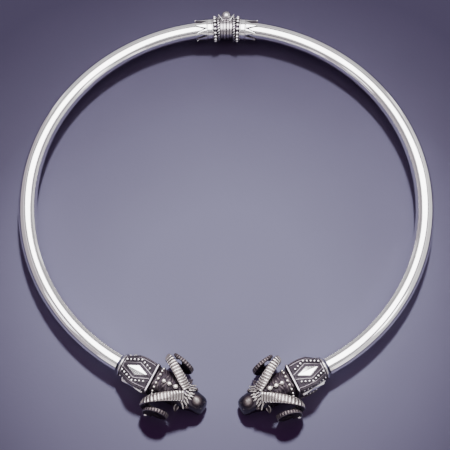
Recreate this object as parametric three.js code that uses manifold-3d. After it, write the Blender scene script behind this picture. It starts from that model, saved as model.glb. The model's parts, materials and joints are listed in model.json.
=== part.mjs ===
// Silver torc: two tube halves joined by a hinge at the back, each with a lozenge collar and a ram's head.
// Millimetres, +Z up. The ring lies flat, the hinge is at the back (+Y) and the heads face each other at
// the front (-Y). The origin is under the middle of the whole ring.
import * as THREE from 'three';
import { mergeVertices } from 'three/addons/utils/BufferGeometryUtils.js';
import Module from 'manifold-3d';

const wasm = await Module();
wasm.setup();

// Fits
const seam = 0.25;
const restDepth = 4.85;
const weld = 1e-4;

// Hoop
const hoopRadius = 67;
const tubeRadius = 3.1;
const tubeSides = 16;
const hoopSteps = 20;
const leftSweep = THREE.MathUtils.degToRad(149.5);
const rightSweep = THREE.MathUtils.degToRad(151.5);

// Hinge collars, measured along the ring from the seam at the back
const faceGap = 0.12;
const endPlateWidth = 0.95;
const endPlateRadius = 3.85;
const barrelWidth = 1.1;
const barrelRadius = 3.65;
const ropeWidth = 1.2;
const ropeRadius = 4.45;
const ropeLean = 0.3;
const ropeValley = 3.95;
const rowGapRadius = 3.95;
const beadRowWidth = 1.35;
const beadRowRadius = 4.85;
const beadRowCount = 20;
const beadRowValley = 4.1;
const bandWidth = 2.4;
const bandRadius = 3.9;
const petalLength = 3.7;
const petalNotch = 2.6;
const petalCount = 8;
const petalTipRadius = 3.6;
const petalRootRadius = 3.98;
const petalBoreGap = 0.2;

// Hinge pin and knuckles, measured outward from the middle of the tube
const pinOut = 3.1;
const pinRadius = 0.7;
const pinHoleGap = 0.25;
const pinBallRadius = 1.75;
const pinBallSeat = 1.58;
const pinFootRadius = 1.25;
const pinFootHeight = 1;
const pinSides = 12;
const knuckleRadius = 1.35;
const knuckleGap = 0.25;
const knuckleTop = 1.8;
const knuckleMiddleTop = 0.6;
const knuckleMiddleBottom = -1.4;
const knuckleBottom = -3.6;
const forkHalfAngle = THREE.MathUtils.degToRad(30);
const forkStart = 0.35;
const lipThickness = 0.36;
const lipRootOut = 0.9;
const lipTipOut = 4.7;
const lipBottom = 1.1;
const lipTop = 2.75;
const lipClear = 0.12;

// Terminal collar, measured forward from the end of the tube
const leftCollarTurn = THREE.MathUtils.degToRad(8);
const rightCollarTurn = 0;
const collarToe = THREE.MathUtils.degToRad(2.8);
const collarStartAt = 0.5;
const collarRimWidth = 0.9;
const collarRimRadius = 3.85;
const collarStartHalf = 3.6;
const collarMiddleHalf = 4.95;
const collarEndHalf = 4.8;
const collarLength = 12.7;
const collarRidgeWidth = 1.2;
const collarRidgeHalf = 5.05;
const collarPanelShare = 0.88;
const collarCornerSwell = 0.22;
const collarEase = 0.25;
const collarStep = 0.05;
const collarRoundStart = 0.7;
const collarRoundFade = 1.9;
const collarRidgeEase = 0.15;
const collarEndInset = 0.35;
const collarBodySteps = 4;
const lozengeAt = 6.75;
const lozengeHalfLength = 4.3;
const lozengeHalfWidth = 2.15;
const lozengeRise = 0.42;
const frameHalfWidth = 4.15;
const frameBar = 0.6;
const frameBarDepth = 1.24;
const frameBarSink = 0.3;
const frameBarTilt = 0.1;
const frameInset = 0.35;

// Ram's head, measured in the same forward direction
const neckBeadAt = collarLength + 1.05;
const neckBeadCount = 9;
const neckBeadSpread = 82;
const neckBeadRadius = 0.55;
const muzzleReach = collarLength + 17.9;
const crownBeads = [
  { at: collarLength + 3.4, radius: 0.82 },
  { at: collarLength + 5.4, radius: 0.86 },
  { at: collarLength + 7.6, radius: 0.95 },
];
const crownBeadRise = 0.35;
const headSides = 12;
const headSideMost = 0.98;
const jawFullness = 0.62;

// Horn, a coil about a line across the head
const hornCentreAt = collarLength + 4.8;
const hornCentreUp = 0.4;
const hornApexAt = collarLength + 10.4;
const hornRootAside = 1.2;
const hornSplay = 0.69;
const hornTipAside = 2.6;
const hornCoilReach = 5.15;
const hornRootReach = 2.3;
const hornRootFade = 0.42;
const hornShrink = 0.42;
const hornStart = THREE.MathUtils.degToRad(34);
const hornEnd = THREE.MathUtils.degToRad(575);
const hornRibs = 14;
const hornRibbedTo = THREE.MathUtils.degToRad(385);
const hornTailSteps = 7;
const hornGroove = 0.84;
const hornBaseWidth = 3.4;
const hornTipWidth = 0.85;
const hornBaseThick = 2.3;
const hornTipThick = 0.8;
const hornTipBall = 0.75;
const hornTaper = 0.55;
const hornTurnStep = 0.01;

// Wool, ears, eyes and mouth
const woolHalfWidth = 3.6;
const curlRows = [
  { count: 8, reach: 2, halfWidth: woolHalfWidth, spread: 78, length: 1.9, radius: 0.72 },
  { count: 5, reach: 0.7, halfWidth: 2.2, spread: 66, length: 1.7, radius: 0.66 },
];
const woolCentreAt = collarLength + 10.5;
const curlAsideMost = 3.9;
const curlSink = 0.1;
const curlTilt = THREE.MathUtils.degToRad(24);
const eyeAt = collarLength + 13.2;
const eyeUp = 1.5;
const eyeRadius = 0.62;
const eyeSink = 0.2;
const earAt = collarLength + 10.2;
const earUp = 0.9;
const earLength = 2.9;
const earWidth = 1.6;
const earThick = 0.55;
const earLean = THREE.MathUtils.degToRad(35);
const earDroop = THREE.MathUtils.degToRad(48);
const earOut = 0.5;
const mouthUp = -2.9;
const mouthDepth = 2.2;
const mouthHalf = 3;
const mouthGap = 0.35;

const polished = { color: 0xdcdce2, metalness: 1, roughness: 0.14 };
const worked = { color: 0xb9b6bf, metalness: 1, roughness: 0.3 };
const darkened = { color: 0x6b6472, metalness: 1, roughness: 0.42 };

// Turns any closed three.js geometry into a solid whose faces point out.
function solidOf(geometry) {
  const bare = new THREE.BufferGeometry();
  bare.setAttribute('position', geometry.getAttribute('position'));
  if (geometry.index) bare.setIndex(geometry.index);
  const welded = mergeVertices(bare, weld);
  const places = welded.getAttribute('position');
  const corners = [];
  for (let i = 0; i < welded.index.count; i += 3) {
    const three = [welded.index.getX(i), welded.index.getX(i + 1), welded.index.getX(i + 2)];
    if (new Set(three).size === 3) corners.push(...three);
  }
  const [a, b, c] = [new THREE.Vector3(), new THREE.Vector3(), new THREE.Vector3()];
  let volume = 0;
  for (let i = 0; i < corners.length; i += 3) {
    a.fromBufferAttribute(places, corners[i]);
    b.fromBufferAttribute(places, corners[i + 1]);
    c.fromBufferAttribute(places, corners[i + 2]);
    volume += a.dot(b.cross(c));
  }
  if (volume < 0) corners.reverse();
  return new wasm.Manifold(new wasm.Mesh({
    numProp: 3,
    vertProperties: new Float32Array(places.array),
    triVerts: new Uint32Array(corners),
  }));
}

function meshOf(name, solid, look) {
  const cut = solid.getMesh();
  const geometry = new THREE.BufferGeometry();
  geometry.setAttribute('position', new THREE.BufferAttribute(cut.vertProperties, 3));
  geometry.setIndex(new THREE.BufferAttribute(cut.triVerts, 1));
  geometry.computeVertexNormals();
  const mesh = new THREE.Mesh(geometry, new THREE.MeshStandardMaterial(look));
  mesh.name = name;
  return mesh;
}

function union(solids) {
  return solids.reduce((whole, next) => whole.add(next));
}

// A closed body swept from rings: place(ring, corner, isRim) gives each point, the caps close to their middle.
function swept(sides, steps, place) {
  const geometry = new THREE.CylinderGeometry(1, 1, 1, sides, steps);
  const places = geometry.getAttribute('position');
  for (let i = 0; i < places.count; i += 1) {
    const ring = Math.round((places.getY(i) + 0.5) * steps);
    const turn = Math.atan2(places.getX(i), places.getZ(i)) / (2 * Math.PI);
    const corner = (Math.round(turn * sides) + sides) % sides;
    const isRim = Math.hypot(places.getX(i), places.getZ(i)) > 0.5;
    const point = place(ring, corner, isRim);
    places.setXYZ(i, point.x, point.y, point.z);
  }
  return solidOf(geometry);
}

function boxBetween(low, high) {
  const size = new THREE.Vector3().subVectors(high, low);
  const middle = new THREE.Vector3().addVectors(low, high).multiplyScalar(0.5);
  return solidOf(new THREE.BoxGeometry(size.x, size.y, size.z).translate(middle.x, middle.y, middle.z));
}

function cylinderUp(radius, bottom, top, out) {
  const geometry = new THREE.CylinderGeometry(radius, radius, top - bottom, pinSides);
  geometry.rotateX(Math.PI / 2);
  geometry.translate(0, hoopRadius + out, (top + bottom) / 2);
  return solidOf(geometry);
}

// Takes away what would reach below the surface that the torc lies on.
function restedFlat(solid) {
  const wide = 2 * hoopRadius;
  const low = new THREE.Vector3(-wide, -wide, -wide);
  const high = new THREE.Vector3(wide, wide, -restDepth);
  return solid.subtract(boxBetween(low, high));
}

// Places along the ring: side is 1 on the right and -1 on the left.
function onRing(side, along, out, up) {
  const turn = along / hoopRadius;
  const reach = hoopRadius + out;
  return new THREE.Vector3(side * reach * Math.sin(turn), reach * Math.cos(turn), up);
}

class HoopArc extends THREE.Curve {
  constructor(side, from, to) {
    super();
    this.side = side;
    this.from = from;
    this.to = to;
  }

  getPoint(t, target = new THREE.Vector3()) {
    return target.copy(onRing(this.side, this.from + (this.to - this.from) * t, 0, 0));
  }
}

function tubeAlong(side, from, to, radius, steps) {
  const section = new THREE.Shape();
  section.absarc(0, 0, radius, 0, 2 * Math.PI);
  return solidOf(new THREE.ExtrudeGeometry(section, {
    steps,
    curveSegments: tubeSides / 2,
    bevelEnabled: false,
    extrudePath: new HoopArc(side, from, to),
  }));
}

// Hinge places along the ring
const endPlateTo = faceGap + endPlateWidth;
const barrelTo = endPlateTo + barrelWidth;
const ropeTo = barrelTo + ropeWidth;
const beadRowTo = ropeTo + beadRowWidth;
const bandTo = beadRowTo + bandWidth;
const petalTo = bandTo + petalLength;

// Turned metal along the ring: each station is a place, its radius and, on a beaded row, the radius
// between the beads and how far the row's crests lean along the ring.
function turnedMetal(side, sides, stations) {
  return swept(sides, stations.length - 1, (ring, corner, isRim) => {
    const { at, radius, valley = radius, lean = 0 } = stations[ring];
    const isCrest = corner % 2 === 0;
    const turn = (2 * Math.PI * corner) / sides;
    const reach = isRim ? (isCrest ? radius : valley) : 0;
    const along = at + (isCrest ? lean : -lean);
    return onRing(side, along, reach * Math.cos(turn), reach * Math.sin(turn));
  });
}

const turnedStations = [
  { at: faceGap, radius: endPlateRadius },
  { at: endPlateTo, radius: endPlateRadius },
  { at: barrelTo, radius: barrelRadius },
  { at: barrelTo + ropeWidth / 2, radius: ropeRadius, valley: ropeValley, lean: ropeLean },
  { at: ropeTo, radius: rowGapRadius },
  { at: ropeTo + beadRowWidth / 2, radius: beadRowRadius, valley: beadRowValley },
  { at: beadRowTo, radius: bandRadius },
  { at: bandTo, radius: bandRadius },
];

// Pointed petals over the tube: even corners are tips and odd corners are notches.
function petalCup(side) {
  const sides = 2 * petalCount;
  return swept(sides, 2, (ring, corner, isRim) => {
    const isTip = corner % 2 === 0;
    const reachAlong = isTip ? petalLength : petalLength - petalNotch;
    const radius = ring === 2 && isTip ? petalTipRadius : petalRootRadius;
    const turn = (2 * Math.PI * corner) / sides;
    const reach = isRim ? radius : 0;
    return onRing(side, bandTo + (reachAlong * ring) / 2, reach * Math.cos(turn), reach * Math.sin(turn));
  });
}

// The V at the outer side of the seam, which lets the halves turn about the pin.
function forkCut(side) {
  const reach = 12;
  const spread = reach * Math.tan(forkHalfAngle);
  const outline = new THREE.Shape();
  outline.moveTo(0, hoopRadius + pinOut - forkStart);
  outline.lineTo(side * spread, hoopRadius + pinOut - forkStart + reach);
  outline.lineTo(-side * reach, hoopRadius + pinOut - forkStart + reach);
  outline.lineTo(-side * reach, hoopRadius + pinOut - forkStart);
  const depth = 4 * restDepth;
  const geometry = new THREE.ExtrudeGeometry(outline, { depth, bevelEnabled: false });
  return solidOf(geometry.translate(0, 0, -depth / 2));
}

// One arm of the fork that stands beside the ball of the pin.
function forkLip(side) {
  const away = knuckleRadius + lipClear;
  const lean = new THREE.Vector2(Math.sin(forkHalfAngle), Math.cos(forkHalfAngle));
  const across = new THREE.Vector2(lean.y, -lean.x);
  const foot = new THREE.Vector2(0, pinOut).addScaledVector(across, away);
  const outline = new THREE.Shape();
  const corner = (out, shift) => {
    const run = (out - foot.y) / lean.y;
    return new THREE.Vector2().copy(foot).addScaledVector(lean, run).addScaledVector(across, shift);
  };
  const points = [
    corner(lipRootOut, 0),
    corner(lipTipOut, 0),
    corner(lipTipOut, lipThickness),
    corner(lipRootOut, lipThickness),
  ];
  outline.setFromPoints(points.map((p) => new THREE.Vector2(side * p.x, hoopRadius + p.y)));
  const geometry = new THREE.ExtrudeGeometry(outline, { depth: lipTop - lipBottom, bevelEnabled: false });
  return solidOf(geometry.translate(0, 0, lipBottom));
}

const knuckleSpans = {
  middle: [[knuckleMiddleBottom, knuckleMiddleTop]],
  outer: [
    [knuckleBottom, knuckleMiddleBottom - knuckleGap],
    [knuckleMiddleTop + knuckleGap, knuckleTop],
  ],
};

function hingeCollar(side, ownSpans, otherSpans) {
  const turned = turnedMetal(side, 2 * beadRowCount, turnedStations).add(petalCup(side));
  const bore = tubeAlong(side, bandTo, petalTo + petalLength, tubeRadius + petalBoreGap, 3);
  let solid = turned.subtract(bore).subtract(forkCut(side));
  for (const [bottom, top] of otherSpans) {
    const clear = cylinderUp(knuckleRadius + knuckleGap, bottom - knuckleGap, top + knuckleGap, pinOut);
    solid = solid.subtract(clear);
  }
  for (const [bottom, top] of ownSpans) {
    solid = solid.add(cylinderUp(knuckleRadius, bottom, top, pinOut));
  }
  solid = solid.add(forkLip(side));
  const hole = cylinderUp(pinRadius + pinHoleGap, -3 * restDepth, 3 * restDepth, pinOut);
  const ballRoom = new THREE.SphereGeometry(pinBallRadius + lipClear, pinSides, pinSides / 2);
  ballRoom.rotateX(Math.PI / 2).translate(0, hoopRadius + pinOut, pinBallUp);
  return restedFlat(solid.subtract(hole).subtract(solidOf(ballRoom)));
}

const pinBallUp = knuckleTop + seam + pinBallSeat;

// The pin stands in the knuckles, with a ball on top and a flat foot.
function hingePin() {
  const footTop = -restDepth + pinFootHeight;
  const ballSteps = 5;
  const outline = [
    new THREE.Vector2(0, -restDepth),
    new THREE.Vector2(pinFootRadius, -restDepth),
    new THREE.Vector2(pinFootRadius, footTop),
    new THREE.Vector2(pinRadius, footTop),
  ];
  const neckAngle = Math.asin(pinRadius / pinBallRadius);
  for (let i = 0; i < ballSteps; i += 1) {
    const turn = neckAngle + ((Math.PI - neckAngle) * i) / ballSteps;
    const radius = pinBallRadius * Math.sin(turn);
    outline.push(new THREE.Vector2(radius, pinBallUp - pinBallRadius * Math.cos(turn)));
  }
  outline.push(new THREE.Vector2(0, pinBallUp + pinBallRadius));
  const geometry = new THREE.LatheGeometry(outline, pinSides);
  geometry.rotateX(Math.PI / 2);
  return solidOf(geometry.translate(0, hoopRadius + pinOut, 0));
}

// Terminal collar: round at the rim, then a rounded square that swells and ends in a ridge.
const collarBodyFrom = collarStartAt + collarRimWidth;
const collarBodyTo = collarLength - collarRidgeWidth;

function collarHalfAt(at) {
  const share = (at - collarBodyFrom) / (collarBodyTo - collarBodyFrom);
  const straight = collarStartHalf + (collarEndHalf - collarStartHalf) * share;
  const middle = (collarStartHalf + collarEndHalf) / 2;
  return straight + (collarMiddleHalf - middle) * Math.sin(Math.PI * share);
}

// Each quarter has the two edges of a panel and the corner between two panels.
function squareCorner(corner, half, roundness) {
  const quarter = Math.floor(corner / 3);
  const kind = corner % 3;
  const edge = half * collarPanelShare;
  const round = (half + edge) / 2 + (half - edge) * collarCornerSwell;
  const square = [
    new THREE.Vector2(-edge, half),
    new THREE.Vector2(edge, half),
    new THREE.Vector2(round, round),
  ][kind];
  const circle = new THREE.Vector2(0, half).rotateAround(new THREE.Vector2(), ((1 - 2 * kind) * Math.PI) / 12);
  if (kind === 2) circle.set(half * Math.SQRT1_2, half * Math.SQRT1_2);
  return square.lerp(circle, roundness).rotateAround(new THREE.Vector2(), (-quarter * Math.PI) / 2);
}

function collarBody() {
  const rings = [
    [collarStartAt, tubeRadius + seam, 1],
    [collarStartAt + collarEase, collarRimRadius, 1],
    [collarBodyFrom, collarRimRadius, 1],
  ];
  for (let i = 0; i <= collarBodySteps; i += 1) {
    const share = i / collarBodySteps;
    const at = THREE.MathUtils.lerp(collarBodyFrom + collarStep, collarBodyTo - collarStep, share);
    rings.push([at, collarHalfAt(at), Math.max(0, collarRoundStart - collarRoundFade * share)]);
  }
  rings.push([collarBodyTo + collarRidgeEase, collarRidgeHalf, 0]);
  rings.push([collarLength - collarEase, collarRidgeHalf, 0]);
  rings.push([collarLength, collarEndHalf - collarEndInset, 0]);
  return swept(12, rings.length - 1, (ring, corner, isRim) => {
    const [at, half, roundness] = rings[ring];
    const place = isRim ? squareCorner(corner, half, roundness) : new THREE.Vector2();
    return new THREE.Vector3(at, place.x, place.y);
  });
}

// Panel ornament: a raised lozenge in a raised frame that the ends of the panel cut off.
function panelOrnament(turn) {
  const half = collarHalfAt(lozengeAt);
  const tilt = Math.atan2(collarEndHalf - collarStartHalf, collarBodyTo - collarBodyFrom);
  const lozenge = new THREE.OctahedronGeometry(1);
  lozenge.scale(lozengeHalfLength, lozengeHalfWidth, 2 * lozengeRise);
  lozenge.rotateY(-tilt).translate(lozengeAt, 0, half - lozengeRise);
  const solids = [solidOf(lozenge.rotateX(turn))];
  const frameHalfLength = (frameHalfWidth * lozengeHalfLength) / lozengeHalfWidth;
  const run = Math.min(lozengeAt - collarBodyFrom, collarBodyTo - lozengeAt);
  const lean = Math.atan2(frameHalfWidth, frameHalfLength);
  const barLength = run / Math.cos(lean);
  for (const [ahead, across] of [[1, 1], [1, -1], [-1, 1], [-1, -1]]) {
    const at = lozengeAt + (ahead * run) / 2;
    const side = across * (frameHalfWidth - frameInset - (frameHalfWidth * run) / (2 * frameHalfLength));
    const bar = new THREE.BoxGeometry(barLength, frameBar, frameBarDepth);
    bar.rotateY(ahead * frameBarTilt - tilt).rotateZ(-ahead * across * lean);
    bar.translate(at, side, collarHalfAt(at) - frameBarSink);
    solids.push(solidOf(bar.rotateX(turn)));
  }
  return solids;
}

// The collar is turned a little about the tube before its underside is flattened.
function terminalCollar(turn) {
  const faces = [0, Math.PI / 2, -Math.PI / 2];
  const body = union([collarBody(), ...faces.flatMap(panelOrnament)]);
  return restedFlat(body.rotate([THREE.MathUtils.radToDeg(turn), 0, 0]));
}

// Head sections from the neck to the muzzle: forward place, half width, top and bottom.
const headSections = [
  [collarLength + seam, 4.5, 4.6, -4.5],
  [collarLength + 2.3, 4.6, 4.85, -4.55],
  [collarLength + 5.3, 4.5, 4.95, -4.4],
  [collarLength + 8.3, 4.5, 5.1, -4.3],
  [collarLength + 10.6, 4.4, 5, -4.4],
  [collarLength + 12.3, 3.95, 4.5, -4.55],
  [collarLength + 13.7, 3.3, 3.6, -4.6],
  [collarLength + 15.1, 2.7, 2.5, -4.6],
  [collarLength + 16.3, 2.5, 1.2, -4.6],
  [collarLength + 17.2, 2.2, 0.1, -4.5],
  [collarLength + 17.7, 1.7, -1, -4.15],
  [muzzleReach, 0.8, -2, -3.5],
];

function headSectionAt(at) {
  const last = headSections.length - 1;
  let i = 1;
  while (i < last && headSections[i][0] < at) i += 1;
  const share = (at - headSections[i - 1][0]) / (headSections[i][0] - headSections[i - 1][0]);
  const mix = (k) => THREE.MathUtils.lerp(headSections[i - 1][k], headSections[i][k], share);
  return { halfWidth: mix(1), middle: (mix(2) + mix(3)) / 2, halfHeight: (mix(2) - mix(3)) / 2 };
}

// The height of the head's skin over a point beside its middle line.
function headTop(at, aside) {
  const { halfWidth, middle, halfHeight } = headSectionAt(at);
  const share = Math.min(Math.abs(aside) / halfWidth, headSideMost);
  return middle + halfHeight * Math.sqrt(1 - share * share);
}

function headBody() {
  return swept(headSides, headSections.length - 1, (ring, corner, isRim) => {
    const [at, halfWidth, top, bottom] = headSections[ring];
    const turn = (2 * Math.PI * corner) / headSides;
    const reach = isRim ? 1 : 0;
    const up = (top + bottom) / 2 + ((top - bottom) / 2) * reach * Math.cos(turn);
    const fullness = Math.cos(turn) < 0 ? jawFullness : 1;
    const aside = Math.sign(Math.sin(turn)) * Math.abs(Math.sin(turn)) ** fullness;
    return new THREE.Vector3(at, halfWidth * reach * aside, up);
  });
}

// A row of small beads over the neck, behind the large ones.
function neckBeads() {
  const { halfWidth } = headSectionAt(neckBeadAt);
  const solids = [];
  for (let i = 0; i < neckBeadCount; i += 1) {
    const share = (2 * i) / (neckBeadCount - 1) - 1;
    const turn = THREE.MathUtils.degToRad(neckBeadSpread * share);
    const bead = new THREE.OctahedronGeometry(neckBeadRadius).translate(neckBeadAt, 0, halfWidth);
    solids.push(solidOf(bead.rotateX(turn)));
  }
  return solids;
}

// Horn middle line: turn is the angle about the coil's own line, from the forehead back, down and round.
function hornReach(turn) {
  const base = hornCoilReach + hornRootReach * Math.exp(-(turn - hornStart) / hornRootFade);
  const shrink = 1 - (hornShrink * (turn - hornStart)) / (hornEnd - hornStart);
  return base * shrink;
}

function hornAside(turn) {
  const first = Math.min(turn, Math.PI);
  const back = hornApexAt - (hornCentreAt + hornReach(first) * Math.cos(first));
  const second = THREE.MathUtils.smoothstep(turn, Math.PI * 2, hornEnd);
  return hornRootAside + hornSplay * back + hornTipAside * second;
}

function hornPoint(turn, flank) {
  const reach = hornReach(turn);
  return new THREE.Vector3(
    hornCentreAt + reach * Math.cos(turn),
    flank * hornAside(turn),
    hornCentreUp + reach * Math.sin(turn),
  );
}

// Five corners: a crowned band on the outer side of the coil and two corners inside.
const hornCorners = [[0, 0.5], [0.5, 0.34], [0.36, -0.5], [-0.36, -0.5], [-0.5, 0.34]];

function horn(flank) {
  const ribRings = 2 * hornRibs;
  const rings = ribRings + hornTailSteps;
  const turnOf = (ring) => {
    if (ring <= ribRings) return hornStart + ((hornRibbedTo - hornStart) * ring) / ribRings;
    return hornRibbedTo + ((hornEnd - hornRibbedTo) * (ring - ribRings)) / hornTailSteps;
  };
  return swept(hornCorners.length, rings, (ring, corner, isRim) => {
    const turn = turnOf(ring);
    const middle = hornPoint(turn, flank);
    if (!isRim) return middle;
    const ahead = hornPoint(turn + hornTurnStep, flank).sub(hornPoint(turn - hornTurnStep, flank)).normalize();
    const outward = new THREE.Vector3(Math.cos(turn), 0, Math.sin(turn));
    const across = new THREE.Vector3().crossVectors(ahead, outward).normalize();
    const normal = new THREE.Vector3().crossVectors(across, ahead).normalize();
    const share = (turn - hornStart) / (hornEnd - hornStart);
    const taper = Math.pow(share, hornTaper);
    const isGroove = ring < ribRings && ring % 2 === 0;
    const swell = isGroove ? hornGroove : 1;
    const width = THREE.MathUtils.lerp(hornBaseWidth, hornTipWidth, taper) * swell;
    const thick = THREE.MathUtils.lerp(hornBaseThick, hornTipThick, taper) * swell;
    const [x, y] = hornCorners[corner];
    return middle.addScaledVector(across, x * width).addScaledVector(normal, y * thick);
  });
}

function ballAt(place, radius, detail) {
  const geometry = new THREE.IcosahedronGeometry(radius, detail);
  return solidOf(geometry.translate(place.x, place.y, place.z));
}

// Pointed curls of wool that fan out over the forehead.
function curls() {
  const solids = [];
  for (const row of curlRows) {
    for (let i = 0; i < row.count; i += 1) {
      const share = (2 * i) / (row.count - 1) - 1;
      const turn = THREE.MathUtils.degToRad(row.spread * share);
      const at = woolCentreAt + row.reach * Math.cos(turn);
      const aside = row.halfWidth * Math.sin(turn);
      const up = headTop(at, Math.min(Math.abs(aside), curlAsideMost)) - curlSink;
      const cone = new THREE.ConeGeometry(row.radius, row.length, 4);
      cone.rotateZ(-Math.PI / 2);
      cone.rotateY(curlTilt);
      cone.rotateZ(turn);
      solids.push(solidOf(cone.translate(at, aside, up)));
    }
  }
  return solids;
}

function ear(flank) {
  const leaf = new THREE.SphereGeometry(1, 6, 4);
  leaf.scale(earWidth / 2, earLength / 2, earThick / 2);
  leaf.rotateY(earLean);
  leaf.rotateX(-flank * earDroop);
  const { halfWidth } = headSectionAt(earAt);
  return solidOf(leaf.translate(earAt, flank * (halfWidth + earOut), earUp));
}

function ramHead() {
  const parts = [headBody(), ...neckBeads(), ...curls()];
  for (const { at, radius } of crownBeads) {
    parts.push(ballAt(new THREE.Vector3(at, 0, headTop(at, 0) + radius * crownBeadRise), radius, 0));
  }
  for (const flank of [1, -1]) {
    const { halfWidth } = headSectionAt(eyeAt);
    parts.push(horn(flank));
    parts.push(ballAt(hornPoint(hornEnd, flank), hornTipBall, 0));
    parts.push(ballAt(new THREE.Vector3(eyeAt, flank * (halfWidth - eyeSink), eyeUp), eyeRadius, 0));
    parts.push(ear(flank));
  }
  const low = new THREE.Vector3(muzzleReach - mouthDepth, -mouthHalf, mouthUp - mouthGap / 2);
  const high = new THREE.Vector3(muzzleReach + mouthHalf, mouthHalf, mouthUp + mouthGap / 2);
  return restedFlat(union(parts).subtract(boxBetween(low, high)));
}

// The frame of a terminal: forward along the tube's end, turned a little towards the curve of the ring.
function terminalFrame(side, sweep) {
  const frame = new THREE.Group();
  frame.position.copy(onRing(side, sweep * hoopRadius, 0, 0));
  const heading = side > 0 ? -sweep - collarToe : Math.PI + sweep + collarToe;
  frame.rotation.z = heading;
  return frame;
}

function half(label, side, sweep, collarTurn, ownSpans, otherSpans) {
  const group = new THREE.Group();
  const hoopFrom = bandTo + seam;
  const hoopTo = sweep * hoopRadius - seam;
  group.add(meshOf(`hoop_${label}`, tubeAlong(side, hoopFrom, hoopTo, tubeRadius, hoopSteps), polished));
  group.add(meshOf(`hinge_collar_${label}`, hingeCollar(side, ownSpans, otherSpans), worked));
  const terminal = terminalFrame(side, sweep);
  terminal.add(meshOf(`terminal_collar_${label}`, terminalCollar(-side * collarTurn), worked));
  terminal.add(meshOf(`ram_head_${label}`, ramHead(), darkened));
  group.add(terminal);
  return group;
}

const torc = new THREE.Group();
torc.add(half('left', -1, leftSweep, leftCollarTurn, knuckleSpans.outer, knuckleSpans.middle));
torc.add(half('right', 1, rightSweep, rightCollarTurn, knuckleSpans.middle, knuckleSpans.outer));
torc.add(meshOf('hinge_pin', hingePin(), polished));

// The origin goes under the middle of the whole torc, on the surface that it lies on.
torc.updateMatrixWorld(true);
const reach = new THREE.Box3().setFromObject(torc, true);
const middle = reach.getCenter(new THREE.Vector3());
torc.position.set(-middle.x, -middle.y, -reach.min.z);

export default torc;
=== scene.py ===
"""Silver torc: mirror-polished tube halves, granulated collars, a ball-headed hinge and two ram's heads.

Sizes are millimetres in the frame of the ring: the ring's middle is the origin, +Y goes towards the hinge
and +Z up. The place of the ring in the row frame comes from the hinge and the resting height.
"""
import json
import math

import bpy
import numpy as np
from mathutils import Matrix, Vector


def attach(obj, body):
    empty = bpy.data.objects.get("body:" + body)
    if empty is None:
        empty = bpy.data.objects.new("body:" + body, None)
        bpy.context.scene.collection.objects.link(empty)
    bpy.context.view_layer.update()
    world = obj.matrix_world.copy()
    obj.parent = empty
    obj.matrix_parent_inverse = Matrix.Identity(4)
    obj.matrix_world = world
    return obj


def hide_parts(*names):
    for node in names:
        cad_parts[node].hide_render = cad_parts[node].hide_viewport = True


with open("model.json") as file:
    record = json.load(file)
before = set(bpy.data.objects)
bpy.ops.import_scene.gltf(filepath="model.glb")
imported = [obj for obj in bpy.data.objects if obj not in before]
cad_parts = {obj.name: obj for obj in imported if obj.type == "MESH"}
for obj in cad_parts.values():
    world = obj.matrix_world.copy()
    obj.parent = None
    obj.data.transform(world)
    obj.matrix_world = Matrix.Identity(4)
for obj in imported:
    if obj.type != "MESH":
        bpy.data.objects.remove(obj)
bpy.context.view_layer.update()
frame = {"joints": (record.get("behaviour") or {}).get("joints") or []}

MM = 0.001
SIDES = {"left": -1, "right": 1}

# Ring
HOOP_RADIUS = 67.0
TUBE_RADIUS = 3.1
REST_DEPTH = 4.85
SEAM = 0.25
SWEEP = {"left": math.radians(149.5), "right": math.radians(151.5)}
TOE = math.radians(2.8)

# Hinge, along the ring from the seam
FACE_GAP = 0.12
END_PLATE_TO = 1.07
BARREL_TO = 2.17
ROPE_TO = 3.37
BEAD_ROW_TO = 4.72
BAND_TO = 7.12
PETAL_LENGTH = 3.7
PIN_OUT = 3.1

hinge = Vector(frame["joints"][0]["pos_m"]) / MM
RING_CENTRE = np.array([hinge.x, hinge.y - HOOP_RADIUS - PIN_OUT, REST_DEPTH])


# Geometry helpers

def on_ring(side, along, out, up):
    """Points beside the tube's middle line: along from the seam, out from the ring's middle, up."""
    along, out, up = np.broadcast_arrays(along, out, up)
    turn = along / HOOP_RADIUS
    reach = HOOP_RADIUS + out
    return np.stack([side * reach * np.sin(turn), reach * np.cos(turn), up], -1)


def unit(vector):
    vector = np.asarray(vector, float)
    return vector / np.linalg.norm(vector, axis=-1, keepdims=True)


def turns(count):
    return np.linspace(0, 2 * np.pi, count, endpoint=False)


def circle(count):
    """Cosines and sines round a circle."""
    return np.cos(turns(count)), np.sin(turns(count))


def flowing(stations, at):
    """Smooth values between stations, whose first column is the place along the head."""
    stations = np.asarray(stations, float)
    known = stations[:, 0]
    slopes = np.gradient(stations[:, 1:], known, axis=0)
    i = np.clip(np.searchsorted(known, at) - 1, 0, len(known) - 2)
    width = known[i + 1] - known[i]
    t = np.clip((at - known[i]) / width, 0, 1)[..., None]
    low, high = stations[i, 1:], stations[i + 1, 1:]
    rise, fall = slopes[i] * width[..., None], slopes[i + 1] * width[..., None]
    curve = (2 * t**3 - 3 * t**2 + 1) * low + (t**3 - 2 * t**2 + t) * rise
    return curve + (3 * t**2 - 2 * t**3) * high + (t**3 - t**2) * fall


def bump(value, width):
    """1 at zero, falling smoothly to 0 at the given width."""
    return np.clip(1 - (value / width) ** 2, 0, 1) ** 1.5


def wire(distance, radius):
    """Height of a round wire laid on a surface, by distance from its middle."""
    return np.sqrt(np.clip(radius**2 - distance**2, 0, None))


def squared(value, power):
    """A sine or cosine made fuller, so that the section it draws has squarer corners."""
    return np.sign(value) * np.abs(value) ** power


LIT_SHIFT = 0.6
LIT_SPAN = 0.9


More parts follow.
